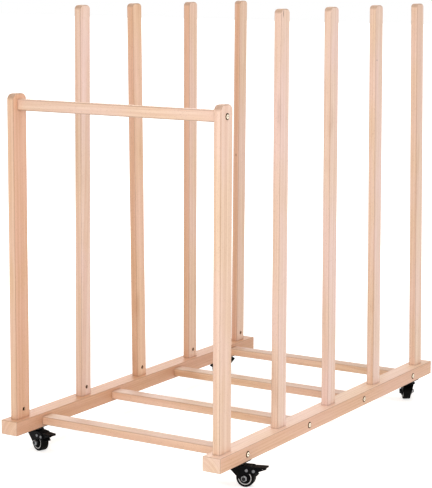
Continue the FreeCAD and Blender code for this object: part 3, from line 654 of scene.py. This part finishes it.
for piece in (rungBolt, barBolt):
    bpy.data.objects.remove(piece)
print("furniture bolts")

# trim rings on the wheels' faces
wheel = {
    "ringOuter": 0.0162,
    "ringInner": 0.0142,
    "ringHeight": 0.00035,
    "ringWall": 0.7,          # share of the height that is upright, the rest is chamfer
    "ringChamfer": 0.0002,
    "rimHalf": 0.010,         # a wheel's face, off its middle
}
outer, inner, height = wheel["ringOuter"], wheel["ringInner"], wheel["ringHeight"]
wall, chamfer = height * wheel["ringWall"], wheel["ringChamfer"]
ring = turnedPiece("trim_ring", [(outer, 0), (outer, wall), (outer - chamfer, height),
                                 (inner + chamfer, height), (inner, wall), (inner, 0)],
                   sides=64, closed=True)
smoothed(ring)
ring.data.materials.append(materials["satin_trim"])

# lock nuts on the axles: a hexagon, a round collar on it, and a nylon insert inside that
nut = {
    "flats": 0.013,
    "height": 0.0045,
    "chamfer": 0.0006,
    "footShare": 0.94,        # the chamfered foot and top of the hexagon, as shares of its radius
    "topShare": 0.9,
    "collarRadius": 0.0055,
    "collarTop": 0.0065,
    "collarRound": 0.0002,
    "sunk": 0.0003,           # the collar starts this far inside the hexagon
    "boreRadius": 0.0041,
    "insertRadius": 0.0047,
    "insertTop": 0.0060,
    "seat": 0.014,            # the fork leg's outer face, off the wheel's middle
}
corner = nut["flats"] / math.sqrt(3)
height, chamfer, bore = nut["height"], nut["chamfer"], nut["boreRadius"]
lockNut = turnedPiece("lock_nut",
                      [(corner * nut["footShare"], 0), (corner, chamfer), (corner, height - chamfer),
                       (corner * nut["topShare"], height), (bore, height), (bore, 0)],
                      sides=6, closed=True)
radius, top, small = nut["collarRadius"], nut["collarTop"], nut["collarRound"]
lip = nut["insertRadius"] + 0.5 * small       # the collar clears the insert by a hair
collar = turnedPiece("lock_nut_collar",
                     [(radius, height - nut["sunk"]), (radius, top - 3 * small),
                      (radius - small, top - small), (radius - 3 * small, top),
                      (lip, top - small), (lip, height - nut["sunk"])], closed=True)
insert = turnedPiece("lock_nut_insert",
                     [(nut["insertRadius"], height), (nut["insertRadius"], nut["insertTop"]),
                      (bore, nut["insertTop"]), (bore, height)], closed=True)
for piece, finish in ((lockNut, "zinc_plate"), (collar, "zinc_plate"), (insert, "black_nylon")):
    smoothed(piece, 30)
    piece.data.materials.append(materials[finish])
bpy.ops.object.select_all(action="DESELECT")
for piece in (insert, collar, lockNut):
    piece.select_set(True)
bpy.context.view_layer.objects.active = lockNut
bpy.ops.object.join()

joints = {joint["name"]: joint for joint in frame["joints"]}
for caster in ("front_right", "front_left", "rear_right", "rear_left"):
    axle = joints["roll_" + caster]
    spot, direction = Vector(axle["pos_m"]), Vector(axle["axis"])
    for faceName, way in (("nut_side", -1), ("head_side", 1)):
        face = spot + direction * way * wheel["rimHalf"]
        copy = laidCopy(ring, "trim_ring_%s_%s" % (faceName, caster), face, direction * way)
        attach(copy, "wheel_" + caster)
    copy = laidCopy(lockNut, "lock_nut_" + caster, spot - direction * nut["seat"], -direction)
    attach(copy, "swivel_" + caster)
    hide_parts("axle_nut_" + caster)
for piece in (ring, lockNut):
    bpy.data.objects.remove(piece)
print("trim rings and lock nuts")

# floor and backdrop
stage = {
    "floorSize": 60,
    "floorColour": "F2F2F0",
    "nearGlow": 0.55,          # low enough round the rack that its shadow stays
    "farGlow": 1.0,            # white as far as the horizon
    "nearReach": 1.2,          # metres off the rack's middle where the glow begins to rise
    "farReach": 3.0,
    "worldColour": "FFFFFF",
    "worldStrength": 0.5,
}


def showsBackdrop(tree):
    # 1 for what the camera sees itself, in gloss or through glass, 0 for light that falls on the rack
    path = addNode(tree, "ShaderNodeLightPath")
    seen = addNode(tree, "ShaderNodeMath", {"operation": "ADD"}, {},
                   {0: path.outputs["Is Camera Ray"], 1: path.outputs["Is Glossy Ray"]})
    return addNode(tree, "ShaderNodeMath", {"operation": "ADD", "use_clamp": True}, {},
                   {0: seen.outputs[0], 1: path.outputs["Is Transmission Ray"]})


bpy.ops.object.select_all(action="DESELECT")
bpy.ops.mesh.primitive_plane_add(size=stage["floorSize"], location=(0, 0, 0))
floor = bpy.context.object
floor.name = "floor"
floorMaterial, tree = newMaterial("pale_floor")
backdrop = showsBackdrop(tree)
place = addNode(tree, "ShaderNodeTexCoord")
away = addNode(tree, "ShaderNodeVectorMath", {"operation": "LENGTH"}, {}, {0: place.outputs["Object"]})
rise = addNode(tree, "ShaderNodeMapRange", {"interpolation_type": "SMOOTHSTEP"},
               {"From Min": stage["nearReach"], "From Max": stage["farReach"],
                "To Min": stage["nearGlow"], "To Max": stage["farGlow"]},
               {"Value": away.outputs["Value"]})
glow = addNode(tree, "ShaderNodeMath", {"operation": "MULTIPLY"}, {},
               {0: backdrop.outputs[0], 1: rise.outputs["Result"]})
matt = addNode(tree, "ShaderNodeBsdfDiffuse", {}, {"Color": linear(stage["floorColour"])})
light = addNode(tree, "ShaderNodeEmission", {}, {}, {"Strength": glow.outputs[0]})
both = addNode(tree, "ShaderNodeAddShader", {}, {}, {0: matt.outputs[0], 1: light.outputs[0]})
addNode(tree, "ShaderNodeOutputMaterial", {}, {}, {"Surface": both.outputs[0]})
floor.data.materials.append(floorMaterial)

world = bpy.data.worlds.new("studio")
bpy.context.scene.world = world
world.use_nodes = True
tree = world.node_tree
tree.nodes.clear()
backdrop = showsBackdrop(tree)
dim = addNode(tree, "ShaderNodeBackground", {}, {"Color": linear(stage["worldColour"]),
                                                 "Strength": stage["worldStrength"]})
white = addNode(tree, "ShaderNodeBackground", {}, {"Color": (1, 1, 1, 1), "Strength": 1})
mixed = addNode(tree, "ShaderNodeMixShader", {}, {},
                {0: backdrop.outputs[0], 1: dim.outputs[0], 2: white.outputs[0]})
addNode(tree, "ShaderNodeOutputWorld", {}, {}, {"Surface": mixed.outputs[0]})

# large soft lamps, all turned to the middle of the rack
lampAim = Vector((0, 0, 0.5))
lamps = {
    "key": {"location": (1.4, -2.9, 1.9), "size": 1.8, "energy": 47, "colour": "FFFDFA"},
    "fill": {"location": (3.8, 0.3, 1.6), "size": 2.4, "energy": 26, "colour": "F6F9FF"},
    "top": {"location": (0.0, 0.0, 4.0), "size": 2.4, "energy": 46, "colour": "FFFFFF"},
    "back": {"location": (-2.8, 2.6, 1.7), "size": 2.4, "energy": 26, "colour": "FFFDFA"},
}
for name, lamp in lamps.items():
    bpy.ops.object.light_add(type="AREA", location=lamp["location"])
    area = bpy.context.object
    area.name = name
    area.data.size = lamp["size"]
    area.data.energy = lamp["energy"]
    area.data.color = linear(lamp["colour"])[:3]
    area.rotation_euler = (lampAim - Vector(lamp["location"])).to_track_quat("-Z", "Y").to_euler()

# yaw, pitch and roll are degrees off a level look along +Y
camera = {
    "location": (2.26429, -3.75364, 1.20510),
    "yaw": 31.123,             # to the left
    "pitch": -7.8365,
    "roll": 0.3022,
    "focal": 124.49,           # mm, on a sensor this wide
    "sensor": 36,
    "shift": (-0.0328, -0.0902),
}
bpy.ops.object.camera_add(location=camera["location"])
eye = bpy.context.object
turn = (Matrix.Rotation(math.radians(camera["yaw"]), 3, "Z")
        @ Matrix.Rotation(math.radians(90 + camera["pitch"]), 3, "X")
        @ Matrix.Rotation(math.radians(camera["roll"]), 3, "Z"))
eye.rotation_euler = turn.to_euler()
eye.data.lens = camera["focal"]
eye.data.sensor_width = camera["sensor"]
eye.data.shift_x, eye.data.shift_y = camera["shift"]
bpy.context.scene.camera = eye
bpy.context.scene.view_settings.view_transform = "Standard"
print("floor, light and camera")
